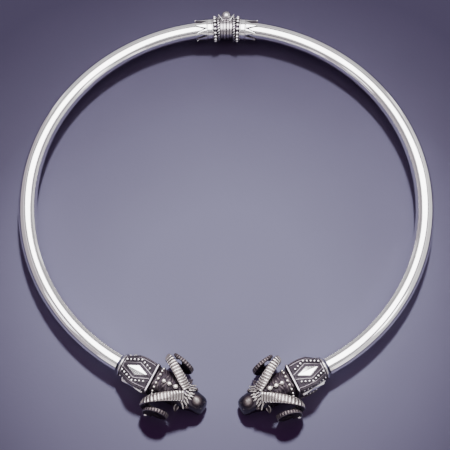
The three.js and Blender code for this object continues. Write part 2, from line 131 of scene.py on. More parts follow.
class Form:
    """Closed shells with a wear and shading value at each point: 0 in dark hollows and painted shade, 1
    where rubbed bright or painted as lit.
    """

    def __init__(self):
        self.points = []
        self.faces = []
        self.wear_and_shading = []
        self.count = 0

    def shell(self, points, quads, fans, wear_and_shading):
        """Adds one closed shell, with its faces turned outwards."""
        points = np.asarray(points, float)
        triangles = np.concatenate([quads[:, [0, 1, 2]], quads[:, [0, 2, 3]], fans])
        a, b, c = (points[triangles[:, k]] for k in range(3))
        if np.einsum("ij,ij->i", a, np.cross(b, c)).sum() < 0:
            quads, fans = quads[:, ::-1], fans[:, ::-1]
        self.points.append(points)
        self.wear_and_shading.append(np.broadcast_to(wear_and_shading, len(points)))
        self.faces += (quads + self.count).tolist() + (fans + self.count).tolist()
        self.count += len(points)

    def loft(self, rings, wear_and_shading=1.0):
        """A capped body through rings of points, shaped (rings, corners, 3)."""
        steps, sides = rings.shape[:2]
        points = np.concatenate([rings.reshape(-1, 3), [rings[0].mean(0)], [rings[-1].mean(0)]])
        wear_and_shading = np.broadcast_to(wear_and_shading, (steps, sides))
        wear_and_shading = np.concatenate([wear_and_shading.ravel(), [wear_and_shading[0].mean()], [wear_and_shading[-1].mean()]])
        row = np.arange(steps - 1)[:, None] * sides
        here = np.arange(sides)
        following = (here + 1) % sides
        corners = [row + here, row + following, row + sides + following, row + sides + here]
        quads = np.stack(np.broadcast_arrays(*corners), -1).reshape(-1, 4)
        last = (steps - 1) * sides
        start = np.full(sides, steps * sides)
        fans = np.concatenate([
            np.stack([start, following, here], -1),
            np.stack([start + 1, last + here, last + following], -1),
        ])
        self.shell(points, quads, fans, wear_and_shading)

    def torus(self, rings, wear_and_shading=1.0):
        """A body closed both ways through rings of points, shaped (rings, corners, 3)."""
        steps, sides = rings.shape[:2]
        row = np.arange(steps)[:, None]
        here = np.arange(sides)
        after, following = (row + 1) % steps, (here + 1) % sides
        corners = [row * sides + here, row * sides + following,
                   after * sides + following, after * sides + here]
        quads = np.stack(np.broadcast_arrays(*corners), -1).reshape(-1, 4)
        wear_and_shading = np.broadcast_to(wear_and_shading, (steps, sides)).ravel()
        self.shell(rings.reshape(-1, 3), quads, np.zeros((0, 3), int), wear_and_shading)

    def ball(self, centre, radius, facing=(0, 0, 1), sides=14, stretch=1.0, dark=0.1, most=0.82):
        """A granule painted as lit: bright towards facing, with painted shade down to where it meets the
        ground.
        """
        axis = unit(facing)
        helper = np.array([1.0, 0, 0]) if abs(axis[0]) < 0.8 else np.array([0, 1.0, 0])
        across = unit(np.cross(axis, helper))
        beside = np.cross(axis, across)
        lift = np.linspace(-1, 1, sides // 2 + 1)[1:-1] * np.pi / 2
        cos, sin = circle(sides)
        level = np.cos(lift)[:, None, None]
        flat = cos[None, :, None] * across + sin[None, :, None] * beside
        rings = centre + radius * (level * flat + stretch * np.sin(lift)[:, None, None] * axis)
        # painted shading by the angle towards facing: lit side bright, underside in painted shade
        bright = np.clip(dark + (most - dark) * (LIT_SHIFT + np.sin(lift)) / LIT_SPAN, 0, most)
        self.loft(rings, bright[:, None])

    def merge(self, other, place, mirrored):
        """Adds another form, moved by place, with its faces turned back where place mirrors it."""
        points = np.concatenate(other.points)
        self.points.append(place(points))
        self.wear_and_shading.append(np.concatenate(other.wear_and_shading))
        step = -1 if mirrored else 1
        self.faces += [[corner + self.count for corner in face[::step]] for face in other.faces]
        self.count += len(points)


def piece(name, form, material, body, node, sharp=math.radians(50)):
    """Makes the object that stands for a node, rides on its body and takes its material."""
    mesh = bpy.data.meshes.new(name)
    points = (np.concatenate(form.points) + RING_CENTRE) * MM
    mesh.from_pydata(points, [], form.faces)
    # the value holds real wear together with painted shade and painted highlights
    mesh.attributes.new("wear_and_shading", "FLOAT", "POINT").data.foreach_set("value", np.concatenate(form.wear_and_shading))
    mesh.shade_smooth()
    mesh.set_sharp_from_angle(angle=sharp)
    mesh.materials.append(material)
    mesh.validate()
    body_object = bpy.data.objects.new(name, mesh)
    bpy.context.scene.collection.objects.link(body_object)
    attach(body_object, body)
    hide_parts(node)
    return body_object


# Hoops

HOOP_STATIONS = 541
HOOP_SIDES = 72


def hoop(side, sweep):
    """One half of the plain tube, from its hinge collar to its terminal collar."""
    form = Form()
    along = np.linspace(BAND_TO + SEAM, sweep * HOOP_RADIUS - SEAM, HOOP_STATIONS)[:, None]
    cos, sin = circle(HOOP_SIDES)
    form.loft(on_ring(side, along, TUBE_RADIUS * cos, TUBE_RADIUS * sin))
    return form


# Hinge

CORE_SIDES = 240
CORE_STEP = 0.08
# place along the ring, radius, worn value
CORE_PROFILE = [
    (FACE_GAP, 3.74, 0.4), (FACE_GAP + 0.1, 3.85, 0.62), (END_PLATE_TO - 0.12, 3.85, 0.62),
    (END_PLATE_TO - 0.05, 3.78, 0.4), (END_PLATE_TO, 3.6, 0), (END_PLATE_TO + 0.1, 3.6, 0),
    (END_PLATE_TO + 0.2, 3.68, 0.58),
    (BARREL_TO - 0.15, 3.66, 0.58), (BARREL_TO, 3.62, 0), (ROPE_TO, 3.7, 0), (BEAD_ROW_TO - 0.1, 3.7, 0),
    (BEAD_ROW_TO - 0.02, 3.85, 0.3), (BEAD_ROW_TO + 0.1, 3.98, 1), (BEAD_ROW_TO + 0.3, 3.98, 1),
    (BEAD_ROW_TO + 0.42, 3.86, 0.5), (BEAD_ROW_TO + 0.6, 3.88, 1), (BAND_TO - 0.6, 3.9, 1),
    (BAND_TO - 0.42, 3.88, 0.5), (BAND_TO - 0.3, 4.0, 1), (BAND_TO - 0.1, 4.0, 1), (BAND_TO, 3.85, 0.4),
    (BAND_TO + 0.12, 3.4, 0.1),
]
ROPE_RADIUS = 3.92
ROPE_THICK = 0.44
ROPE_STRAND = 0.2
ROPE_STRAND_FULL = 0.7
ROPE_TWISTS = 14
ROPE_STATIONS = 360
ROPE_SIDES = 14
ROPE_WIDER = 1.05
ROPE_WORN = 0.95
ROPE_DARK_TO = 0.55
ROPE_CONTRAST = 2.8
ROPE_LIT = 0.4
BEAD_ROW_RADIUS = 4.22
BEAD_ROW_COUNT = 18
BEAD_RADIUS = 0.6
PETAL_COUNT = 8
PETAL_STEPS = 30
PETAL_SIDES = 36
PETAL_ROOT_RADIUS = 3.62
PETAL_ROOT_WIDE = 0.97
PETAL_TIP_WIDE = 0.012
PETAL_TAPER = 1.2
PETAL_CROWN = 0.22
PETAL_CROWN_FULL = 0.6
PETAL_CROWN_FALL = 0.4
PETAL_VEIN = 0.06
PETAL_VEIN_WIDE = 0.14
PETAL_FLARE = 0.42
PETAL_FALL = 0.3
PETAL_EDGE = 0.9
OUTLINE_RISE = 0.07
OUTLINE_WIDER = 1.3
OUTLINE_LONGER = 1.1
OUTLINE_SHADE = 0.1
PETAL_BELOW = 3.0
PETAL_WORN = 0.95
PETAL_WALL_WORN = 0.4

KNUCKLE_RADIUS = 1.35
KNUCKLE_GAP = 0.25
KNUCKLE_EASE = 0.12
KNUCKLE_WORN = 0.9
UPRIGHT_SIDES = 48
KNUCKLES = {"left": [(-3.6, -1.65), (0.85, 1.8)], "right": [(-1.4, 0.6)]}
FORK_START = 0.35
FORK_HALF_ANGLE = math.radians(30)
LIP_THICK = 0.5
LIP_ROOT_OUT = 0.9
LIP_TIP_OUT = 4.7
LIP_CLEAR = 0.3
LIP_BOTTOM = 1.1
LIP_TOP = 3.4
LIP_STATIONS = 9
LIP_SIDES = 16
LIP_SQUARE = 0.6
LIP_ROUND_FROM = 0.7
LIP_ROUND_SPAN = 0.1
LIP_END_LEFT = 0.03
PIN_RADIUS = 0.7
PIN_BALL_RADIUS = 1.75
PIN_BALL_UP = 3.63
PIN_BALL_STEPS = 22
PIN_BALL_POLE = 0.02
PIN_FOOT_RADIUS = 1.25
PIN_FOOT_HEIGHT = 1.0
PIN_FOOT_EASE = 0.1
PIN_SHOULDER_EASE = 0.15
PIN_WORN = 0.6


def hinge_core(form, side, other):
    """Turned metal along the ring, cut by the fork at the seam and by the other half's knuckles."""
    profile = np.array(CORE_PROFILE)
    along = np.unique(np.concatenate([profile[:, 0], np.arange(FACE_GAP, BARREL_TO, CORE_STEP)]))
    radius = np.interp(along, profile[:, 0], profile[:, 1])
    wear_and_shading = np.interp(along, profile[:, 0], profile[:, 2])
    cos, sin = circle(CORE_SIDES)
    out = radius[:, None] * cos
    up = radius[:, None] * sin
    out = np.minimum(out, PIN_OUT - FORK_START + along[:, None] / math.tan(FORK_HALF_ANGLE))
    clear = KNUCKLE_RADIUS + KNUCKLE_GAP
    reach = np.sqrt(np.clip(clear**2 - along**2, 0, None))
    for bottom, top in KNUCKLES[other]:
        inside = (up > bottom - KNUCKLE_GAP) & (up < top + KNUCKLE_GAP) & (along[:, None] < clear)
        out = np.where(inside, np.minimum(out, PIN_OUT - reach[:, None]), out)
    up = np.maximum(up, -REST_DEPTH)
    form.loft(on_ring(side, along[:, None], out, up), wear_and_shading[:, None])


def rope_row(form, side):
    """Two-strand twisted wire round the collar."""
    major, minor = turns(ROPE_STATIONS)[:, None], turns(ROPE_SIDES)
    strand = np.abs(np.cos(minor + side * ROPE_TWISTS * major))
    thick = ROPE_THICK + ROPE_STRAND * (strand**ROPE_STRAND_FULL - 0.5)
    radius = ROPE_RADIUS + thick * np.cos(minor)
    along = (BARREL_TO + ROPE_TO) / 2 + ROPE_WIDER * thick * np.sin(minor)
    rings = on_ring(side, along, radius * np.cos(major), radius * np.sin(major))
    wear_and_shading = ROPE_WORN * np.clip((strand - ROPE_DARK_TO) * ROPE_CONTRAST, 0, 1)
    form.torus(rings, wear_and_shading * np.clip(ROPE_LIT + np.cos(minor), 0, 1))


def bead_row(form, side):
    """The granules of the widest row; the lowest two are either side of the bottom, clear of it."""
    middle = (ROPE_TO + BEAD_ROW_TO) / 2
    for turn in turns(BEAD_ROW_COUNT):
        facing = np.array([0, math.cos(turn), math.sin(turn)])
        centre = on_ring(side, middle, BEAD_ROW_RADIUS * facing[1], BEAD_ROW_RADIUS * facing[2])
        form.ball(centre, BEAD_RADIUS, facing, dark=0)


def petal(form, side, start, half_width, length, radius, wear_and_shading):
    """One leaf-shaped shell on the tube, from its half widths and its radii round the tube's line."""
    reach = np.linspace(0, 1, PETAL_STEPS)[:, None]
    turn = start + np.cos(turns(PETAL_SIDES)) * half_width
    along = BAND_TO + length * reach + 0 * turn
    up = np.maximum(radius * np.sin(turn), -REST_DEPTH)
    form.loft(on_ring(side, along, radius * np.cos(turn), up), wear_and_shading)


def petals(form, side):
    """Pointed petals with a soft vein that flare at their tips, edged with painted shade over wider shells
    of painted shade on the tube.
    """
    reach = np.linspace(0, 1, PETAL_STEPS)[:, None]
    cos, sin = circle(PETAL_SIDES)
    taper = np.clip(1 - reach**PETAL_TAPER, PETAL_TIP_WIDE, 1)
    half_width = (math.pi / PETAL_COUNT) * PETAL_ROOT_WIDE * taper
    top = sin > -1e-6
    middle = np.clip(sin, 0, 1)
    crown = PETAL_CROWN * middle**PETAL_CROWN_FULL * (1 - PETAL_CROWN_FALL * reach)
    vein = PETAL_VEIN * bump(np.abs(cos), PETAL_VEIN_WIDE) * (1 - reach)
    lift = PETAL_FLARE * reach**3 - PETAL_FALL * reach
    radius = np.where(top, PETAL_ROOT_RADIUS + crown + vein + lift, PETAL_BELOW)
    # painted shade along the edges of each petal's top
    top_worn = np.where(np.abs(cos) < PETAL_EDGE, PETAL_WORN, OUTLINE_SHADE)
    wear_and_shading = np.where(top, top_worn, PETAL_WALL_WORN) + 0 * reach
    outline_radius = np.where(top, TUBE_RADIUS + OUTLINE_RISE, PETAL_BELOW)
    for start in turns(PETAL_COUNT):
        petal(form, side, start, half_width, PETAL_LENGTH, radius, wear_and_shading)
        # a wider, longer shell of painted shade under each petal, a dark outline on the tube
        petal(form, side, start, half_width * OUTLINE_WIDER, PETAL_LENGTH * OUTLINE_LONGER, outline_radius,
              OUTLINE_SHADE)


def upright(form, outline, wear_and_shading):
    """A body turned about the pin's line from pairs of a height and a radius."""
    cos, sin = circle(UPRIGHT_SIDES)
    rings = []
    for up, radius in outline:
        rings.append(np.stack([radius * cos, HOOP_RADIUS + PIN_OUT + radius * sin, 0 * cos + up], -1))
    form.loft(np.array(rings), wear_and_shading)


def knuckle(form, bottom, top):
    """A short upright barrel with softened ends."""
    narrow = KNUCKLE_RADIUS - KNUCKLE_EASE
    outline = [(bottom, narrow), (bottom + KNUCKLE_EASE, KNUCKLE_RADIUS),
               (top - KNUCKLE_EASE, KNUCKLE_RADIUS), (top, narrow)]
    upright(form, outline, KNUCKLE_WORN)


def fork_lip(form, side):
    """One arm of the fork beside the ball."""
    lean = np.array([math.sin(FORK_HALF_ANGLE), math.cos(FORK_HALF_ANGLE)])
    across = np.array([lean[1], -lean[0]])
    foot = np.array([0, PIN_OUT]) + across * (KNUCKLE_RADIUS + LIP_CLEAR)
    cos, sin = circle(LIP_SIDES)
    middle_up, half_up = (LIP_TOP + LIP_BOTTOM) / 2, (LIP_TOP - LIP_BOTTOM) / 2
    rings = []
    for share in np.linspace(0, 1, LIP_STATIONS):
        out = LIP_ROOT_OUT + (LIP_TIP_OUT - LIP_ROOT_OUT) * share
        past = max(0, share - LIP_ROUND_FROM)
        shrink = math.sqrt(max(LIP_END_LEFT, 1 - past**2 / LIP_ROUND_SPAN))
        centre = foot + lean * (out - foot[1]) / lean[1] + across * LIP_THICK / 2
        thick = squared(cos, LIP_SQUARE) * LIP_THICK / 2
        tall = squared(sin, LIP_SQUARE) * half_up * shrink
        flat = centre[:, None] + across[:, None] * thick
        rings.append(np.stack([side * flat[0], HOOP_RADIUS + flat[1], middle_up + tall], -1))
    form.loft(np.array(rings))


def hinge_collar(label):
    """The petalled collar of one half, with its rope, beads, knuckles and fork arm."""
    side = SIDES[label]
    other = "right" if label == "left" else "left"
    form = Form()
    hinge_core(form, side, other)
    rope_row(form, side)
    bead_row(form, side)
    petals(form, side)
    for bottom, top in KNUCKLES[label]:
        knuckle(form, bottom, top)
    fork_lip(form, side)
    return form


def hinge_pin():
    """The pin through the knuckles, with its ball on top and its flat foot below."""
    form = Form()
    foot_top = -REST_DEPTH + PIN_FOOT_HEIGHT
    outline = [
        (-REST_DEPTH, PIN_FOOT_RADIUS - PIN_FOOT_EASE), (-REST_DEPTH + PIN_FOOT_EASE, PIN_FOOT_RADIUS),
        (foot_top - PIN_SHOULDER_EASE, PIN_FOOT_RADIUS), (foot_top, PIN_FOOT_RADIUS - PIN_SHOULDER_EASE),
        (foot_top, PIN_RADIUS),
    ]
    neck = math.asin(PIN_RADIUS / PIN_BALL_RADIUS)
    for turn in np.linspace(neck, math.pi - PIN_BALL_POLE, PIN_BALL_STEPS):
        outline.append((PIN_BALL_UP - PIN_BALL_RADIUS * math.cos(turn), PIN_BALL_RADIUS * math.sin(turn)))
    upright(form, outline, PIN_WORN)
    return form


# Terminals

COLLAR_START = 0.5
RIM_TO = 1.4
COLLAR_LENGTH = 12.7
RIDGE_FROM = 11.5
RIM_RADIUS = 3.85
START_HALF = 3.6
MIDDLE_HALF = 4.95
END_HALF = 4.8
RIDGE_HALF = 5.05
RIM_ROUNDING = 0.45
RIDGE_ROUNDING = 0.5
EDGE_SHARE = 0.02
RIM_STEPS = np.array([0, 0.06, 0.2, 0.45])
RIM_LAST_STEPS = np.array([0.2, 0.05])
RIDGE_STEPS = np.array([0.06, 0.2, 0.45, 0.75, 1.0, 1.14, 1.2])
PANEL_STATIONS = 104
PANEL_COLUMNS = 85
PANEL_CORNER_STEPS = 7
PANEL_SHARE = 0.88
ROUND_START = 0.75
ROUND_FALL = 1.9
COLLAR_TURN = {"left": math.radians(8), "right": 0.0}
LOZENGE_AT = 6.75
LOZENGE_LONG = 4.4
LOZENGE_WIDE = 1.75
LOZENGE_RISE = 0.33
PLATE_RISE = 0.2
PLATE_SLOPE = 3.0
PLATE_FLATNESS = 0.65
PLATE_TILT = 0.06
MOAT_WORN = 0.15
INNER_WIRE = 0.85
INNER_WIRE_RADIUS = 0.17
BORDER_INSET = 0.3
BORDER_RADIUS = 0.2
GRANULE_ROW = 1.78
GRANULE_RADIUS = 0.43
GRANULE_PITCH = 1.2
GRANULE_SIDES = 12
GRANULE_FROM_RIM = 0.5
GRANULE_FROM_RIDGE = 0.45
GRANULE_FROM_EDGE = 0.2
SIDE_GRANULE_RADIUS = 0.36
SIDE_GRANULE_SINK = 0.3
START_WIRE_RISE = 1.2
GRAIN_RISE = 0.03
GRAIN_ALONG = 7.5
GRAIN_SLANT = 0.8
GRAIN_ASIDE = 4
GROUND_DEPTH = 0.2
GROUND_WORN = 0.12
CORNER_WORN = 0.3
UNDER_WORN = 0.5
PLATE_WORN = 1.4
PLATE_WORN_RUN = 0.08
WIRE_WORN = 0.5
BORDER_WORN = 0.42
# value at the edge, how much the crest adds, where the crest is and how far it reaches; the crest is wear
# and painted highlight
RIM_SHINE = (0.3, 0.55, 0.35, 0.55)
RIDGE_SHINE = (0.08, 0.62, 0.55, 0.27)


def terminal_place(label):
    """The map from a terminal's own frame, forward, outward and up, to the frame of the ring."""
    side = SIDES[label]
    heading = SWEEP[label] + TOE
    origin = on_ring(side, SWEEP[label] * HOOP_RADIUS, 0, 0)
    forward = np.array([side * math.cos(heading), -math.sin(heading), 0])
    outward = np.array([side * math.sin(heading), math.cos(heading), 0])
    axes = np.array([forward, outward, [0, 0, 1]])
    return lambda points: origin + points @ axes


def placed(local, label):
    """A form made in the frame of one terminal, moved to its place on the ring."""
    form = Form()
    form.merge(local, terminal_place(label), SIDES[label] < 0)
    return form


def collar_half(at):
    """Half the width of the collar between its flat panels, by place along it."""
    share = np.clip((at - RIM_TO) / (RIDGE_FROM - RIM_TO), 0, 1)
    straight = START_HALF + (END_HALF - START_HALF) * share
    return straight + (MIDDLE_HALF - (START_HALF + END_HALF) / 2) * np.sin(np.pi * share)


def lozenge_distance(at, aside):
    """Millimetres outside the lozenge's edge, negative inside it."""
    share = np.abs(at - LOZENGE_AT) / LOZENGE_LONG + np.abs(aside) / LOZENGE_WIDE
    return (share - 1) * LOZENGE_LONG * LOZENGE_WIDE / math.hypot(LOZENGE_LONG, LOZENGE_WIDE)


def panel_relief(at, aside, half):
    """Height and wear value of a panel's ornament over its ground."""
    distance = lozenge_distance(at, aside)
    level = collar_half(LOZENGE_AT) + PLATE_TILT * (at - LOZENGE_AT) - half
    fold = LOZENGE_RISE * np.clip(1 - np.abs(aside) / LOZENGE_WIDE, 0, 1)
    roof = PLATE_RISE + PLATE_FLATNESS * level + fold
    plate = np.clip(np.minimum(roof, -PLATE_SLOPE * distance), 0, None)
    inner = wire(distance - INNER_WIRE, INNER_WIRE_RADIUS)
    border = wire(np.abs(aside) - half * PANEL_SHARE + BORDER_INSET, BORDER_RADIUS)
    start = START_WIRE_RISE * wire(at - RIM_TO - BORDER_INSET, BORDER_RADIUS) + 0 * aside
    grain = GRAIN_RISE * np.sin(GRAIN_ALONG * (at + GRAIN_SLANT * np.abs(aside)))
    grain = grain * np.sin(GRAIN_ASIDE * aside) * (distance > GRANULE_ROW)
    raised = np.max(np.stack([plate, inner, border, start]), axis=0)
    ground = np.where(distance < INNER_WIRE, MOAT_WORN, GROUND_WORN)
    wear_and_shading = np.max(np.stack([
        ground,
        PLATE_WORN * np.clip(-distance / PLATE_WORN_RUN, 0, 1),
        WIRE_WORN * np.clip(inner / INNER_WIRE_RADIUS, 0, 1),
        BORDER_WORN * np.clip(border / BORDER_RADIUS, 0, 1),
        WIRE_WORN * np.clip(start / BORDER_RADIUS, 0, 1),
    ]), axis=0)
    return raised + grain - GROUND_DEPTH, wear_and_shading


def collar_section(half, roundness, at=None):
    """Points round a square with rounded corners, or a circle where roundness is 1.

    With a place along the collar, all panels but the lower one carry the relief of that place.
    """
    edge = half * PANEL_SHARE
    columns = np.linspace(-1, 1, PANEL_COLUMNS)
    points, wear_and_shading = [], []
    for quarter in range(4):
        height, bright = 0 * columns, 0 * columns + UNDER_WORN
        if at is not None and quarter != 2:
            height, bright = panel_relief(at, edge * columns, half)
        side_turn = -quarter * np.pi / 2
        panel = np.stack([edge * columns, 0 * columns + half], -1)
        corner_turn = np.linspace(0, 1, PANEL_CORNER_STEPS)[1:-1] * np.pi / 2
        round_radius = half - edge
        corner = np.stack([edge + round_radius * np.sin(corner_turn),
                           edge + round_radius * np.cos(corner_turn)], -1)
        ring = np.concatenate([panel, corner])
        ring += roundness * (unit(ring) * half - ring)
        ring[:len(columns), 1] += height
        cos, sin = math.cos(side_turn), math.sin(side_turn)
        points.append(ring @ np.array([[cos, sin], [-sin, cos]]))
        wear_and_shading += [bright, np.full(len(corner), CORNER_WORN)]
    return np.concatenate(points), np.concatenate(wear_and_shading)


def round_edge(share, rounding):
    """How far a rounded edge falls back at a share of its length."""
    return rounding * (1 - math.sqrt(math.sin(math.pi * min(max(share, EDGE_SHARE), 1 - EDGE_SHARE))))


def shine(share, values):
    """Wear and painted highlight across a rounded edge, brightest at its crest."""
    base, more, crest, reach = values
    return base + more * bump(share - crest, reach)


def collar_body(turn):
    """The collar from its round rim to the ridge at the head."""
    form = Form()
    stations = np.concatenate([
        COLLAR_START + RIM_STEPS, RIM_TO - RIM_LAST_STEPS,
        np.linspace(RIM_TO, RIDGE_FROM, PANEL_STATIONS), RIDGE_FROM + RIDGE_STEPS,
    ])
    rings, values = [], []
    for at in stations:
        if at < RIM_TO:
            share = (at - COLLAR_START) / (RIM_TO - COLLAR_START)
            points, wear_and_shading = collar_section(RIM_RADIUS - round_edge(share, RIM_ROUNDING), 1)
            wear_and_shading = wear_and_shading * 0 + shine(share, RIM_SHINE)
        elif at > RIDGE_FROM:
            share = (at - RIDGE_FROM) / (COLLAR_LENGTH - RIDGE_FROM)
            points, wear_and_shading = collar_section(RIDGE_HALF - round_edge(share, RIDGE_ROUNDING), 0)
            wear_and_shading = wear_and_shading * 0 + shine(share, RIDGE_SHINE)
        else:
            roundness = max(0.0, ROUND_START - ROUND_FALL * (at - RIM_TO) / (RIDGE_FROM - RIM_TO))
            points, wear_and_shading = collar_section(float(collar_half(at)), roundness, at)
        rings.append(np.column_stack([np.full(len(points), at), points[:, 0], points[:, 1]]))
        values.append(wear_and_shading)
    rings = np.array(rings)
    form.loft(rest(turned(rings, turn)), np.array(values))
    return form


def turned(points, turn):
    """Rolls points about the tube's line, the top towards the outside of the ring."""
    aside = points[..., 1] * math.cos(turn) + points[..., 2] * math.sin(turn)
    up = points[..., 2] * math.cos(turn) - points[..., 1] * math.sin(turn)
    return np.stack([points[..., 0], aside, up], -1)


def rest(points):
    """Flattens what would reach below the surface that the torc lies on."""
    points[..., 2] = np.maximum(points[..., 2], -REST_DEPTH)
    return points


def granule_places():
    """Granules round a lozenge: place along the collar, place aside, half width of the collar."""
    slope = math.hypot(LOZENGE_LONG, LOZENGE_WIDE)
    grow = 1 + GRANULE_ROW * slope / (LOZENGE_LONG * LOZENGE_WIDE)
    long, wide = LOZENGE_LONG * grow, LOZENGE_WIDE * grow
    count = round(math.hypot(long, wide) / GRANULE_PITCH)
    places = []
    for ahead in (1, -1):
        for across in (1, -1):
            for i in range(count + 1):
                share = i / count
                at, aside = LOZENGE_AT + ahead * long * share, across * wide * (1 - share)
                half = float(collar_half(at))
                along_fits = RIM_TO + GRANULE_FROM_RIM < at < RIDGE_FROM - GRANULE_FROM_RIDGE
                aside_fits = abs(aside) < half * PANEL_SHARE - GRANULE_FROM_EDGE
                if along_fits and aside_fits and (i > 0 or ahead > 0):
                    places.append((at, aside, half))
    return places


def collar_granules(form, turn):
    """Rows of granules that frame the lozenge on the upper and the two side panels."""
    for quarter in (0, 1, 3):
        roll = quarter * math.pi / 2
        facing = turned(turned(np.array([0, 0, 1.0]), roll), turn)
        sink, radius = (SIDE_GRANULE_SINK, SIDE_GRANULE_RADIUS) if quarter else (0, GRANULE_RADIUS)
        for at, aside, half in granule_places():
            centre = turned(turned(np.array([at, aside, half - sink]), roll), turn)
            if centre[2] - radius > -REST_DEPTH:
                form.ball(centre, radius, facing, GRANULE_SIDES)


def terminal_collar(label):
    """The square collar of one half with its lozenges and granules."""
    local = collar_body(COLLAR_TURN[label])
    collar_granules(local, COLLAR_TURN[label])
    return placed(local, label)


# Ram's head, in the terminal's own frame

# place along the head, half width, top, bottom
HEAD_STATIONS = [
    (12.95, 4.4, 4.5, -4.4), (15.0, 4.55, 4.8, -4.55), (18.0, 4.5, 4.9, -4.45), (21.0, 4.45, 5.0, -4.35),
    (23.3, 4.3, 4.85, -4.4), (25.0, 3.85, 4.25, -4.5), (26.4, 3.4, 3.5, -4.6), (27.8, 3.15, 2.65, -4.65),
    (29.0, 3.0, 1.6, -4.65), (29.9, 2.6, 0.3, -4.55), (30.4, 1.9, -0.9, -4.1), (30.6, 1.0, -2.0, -3.4),
]
HEAD_PLACES = np.concatenate([np.linspace(12.95, 27, 110), np.linspace(27.1, 30.35, 34),
                              [30.45, 30.52, 30.57, 30.6]])
HEAD_SIDES = 96
SKIN_LIMIT = 0.97
JAW_FULLNESS = 0.62
MUZZLE_FULLNESS = 0.85
MUZZLE_FROM = 26
MUZZLE_RUN = 3
NECK_SQUARE = 0.3
NECK_SQUARE_TO = 19.0
NECK_SQUARE_FADE = 4.0
WOOL_TO = 23.5
WOOL_FADE = 2
WOOL_RISE = 0.03
WOOL_WORN = 0.1
WOOL_LIT = 0.22
# rate, wander and rate of the wander of the wool's waves
WOOL_ROUND = (6.2, 2.1, 1.9)
WOOL_ALONG = (3.4, 1.3, 5)
MOUTH_UP = -2.9
MOUTH_FROM = 27.4
MOUTH_FADE = 0.6
MOUTH_SLOPE = 0.12
MOUTH_WIDE = 0.28
MOUTH_DEEP = 0.22
CHEEK_AT = 24.6
CHEEK_DOWN = 1.6
CHEEK_REACH = 2.2
CHEEK_RISE = 0.035
BRIDGE_AT = 27.9
BRIDGE_ASIDE = 0.95
BRIDGE_REACH = 2.4
BRIDGE_HIGHLIGHT = 0.62
NOSTRIL_AT = 29.75
NOSTRIL_ASIDE = 1.15
NOSTRIL_NARROW = 1.3
NOSTRIL_REACH = 0.5
NOSTRIL_FADE = 0.5
NOSTRIL_LEVEL = 1.2
NOSTRIL_IN = 0.25
NOSTRIL_DOWN = 0.3
NECK_ROW_AT = 14.1
NECK_ROW_COUNT = 15
NECK_ROW_SPREAD = math.radians(118)
NECK_ROW_RADIUS = 0.52
NECK_ROW_LEAN = 0.6
NECK_ROW_SAMPLES = 241
NECK_ROW_SHRINK = 0.28
NECK_ROW_RISE = 0.1
NECK_ROW_TILT = -0.15
CROWN_BEADS = [(16.1, 0.86), (18.1, 0.92), (20.3, 1.02)]
CROWN_RISE = 0.35
CROWN_FACING = (-0.1, 0, 1)
CROWN_SIDES = 24
CROWN_DARK = 0.45

HORN_CENTRE_AT = 17.5
HORN_CENTRE_UP = 0.4
HORN_APEX_AT = 23.5
HORN_ROOT_ASIDE = 1.2
HORN_SPLAY = 0.69
HORN_TIP_ASIDE = 2.2
HORN_START = math.radians(34)
HORN_END = math.radians(575)
HORN_PITCH_AT = (0, 0.3, 1)
HORN_PITCH = (0.8, 1.2, 0.8)
HORN_COIL = 5.15
HORN_ROOT_REACH = 2.3
HORN_ROOT_FADE = 0.42
HORN_SHRINK = 0.42
HORN_BASE = (3.6, 2.3)
HORN_TIP = (0.85, 0.8)
HORN_TAPER = 0.65
HORN_SIDES = 32
HORN_STEPS = 560
HORN_NUDGE = 0.01
HORN_SQUARE = 0.55
HORN_FLATNESS = 0.7
HORN_INNER_NARROW = 0.22
HORN_BAR_HALF = 0.26
HORN_GROOVE = 0.12
HORN_RAIL_FROM = 0.78
HORN_BAND_FROM = 0.25
HORN_BALL = 0.75
HORN_GROOVE_WORN = 0.33
HORN_BAR_WORN = 0.5
HORN_RAIL_WORN = 0.68
HORN_FLANK_SHADE = 0.08
WEB_START = math.radians(150)
WEB_STEPS = 90
WEB_HUB = 0.08
WEB_THICK = 0.5
WEB_SHADE = 0.1
HORN_LAST_COIL_SHADE_FROM = math.radians(330)
HORN_LAST_COIL_SHADE_RUN = math.radians(50)
HORN_LAST_COIL_SHADE = 0.6


def head_section(at):
    """Half width, middle height and half height of the head by place along it."""
    width, top, bottom = flowing(HEAD_STATIONS, np.asarray(at, float)).T
    return width, (top + bottom) / 2, (top - bottom) / 2


def head_skin(at, turn):
    """Points on the head by place along it and angle from the crown, with their worn value."""
    at, turn = np.broadcast_arrays(at, turn)
    width, middle, height = (value.T.reshape(at.shape) for value in head_section(at.ravel()))
    square = 1 - NECK_SQUARE * np.clip((NECK_SQUARE_TO - at) / NECK_SQUARE_FADE, 0, 1)
    muzzle = np.clip((at - MUZZLE_FROM) / MUZZLE_RUN, 0, 1)
    jaw = JAW_FULLNESS + (MUZZLE_FULLNESS - JAW_FULLNESS) * muzzle
    full = np.where(np.cos(turn) < 0, jaw, square)
    return at, width * squared(np.sin(turn), full), middle + height * squared(np.cos(turn), square)


def wave(value, beside, rates):
    """A wave over one value, whose crests wander with the other."""
    rate, wander, wander_rate = rates
    return np.sin(rate * value + wander * np.sin(wander_rate * beside))


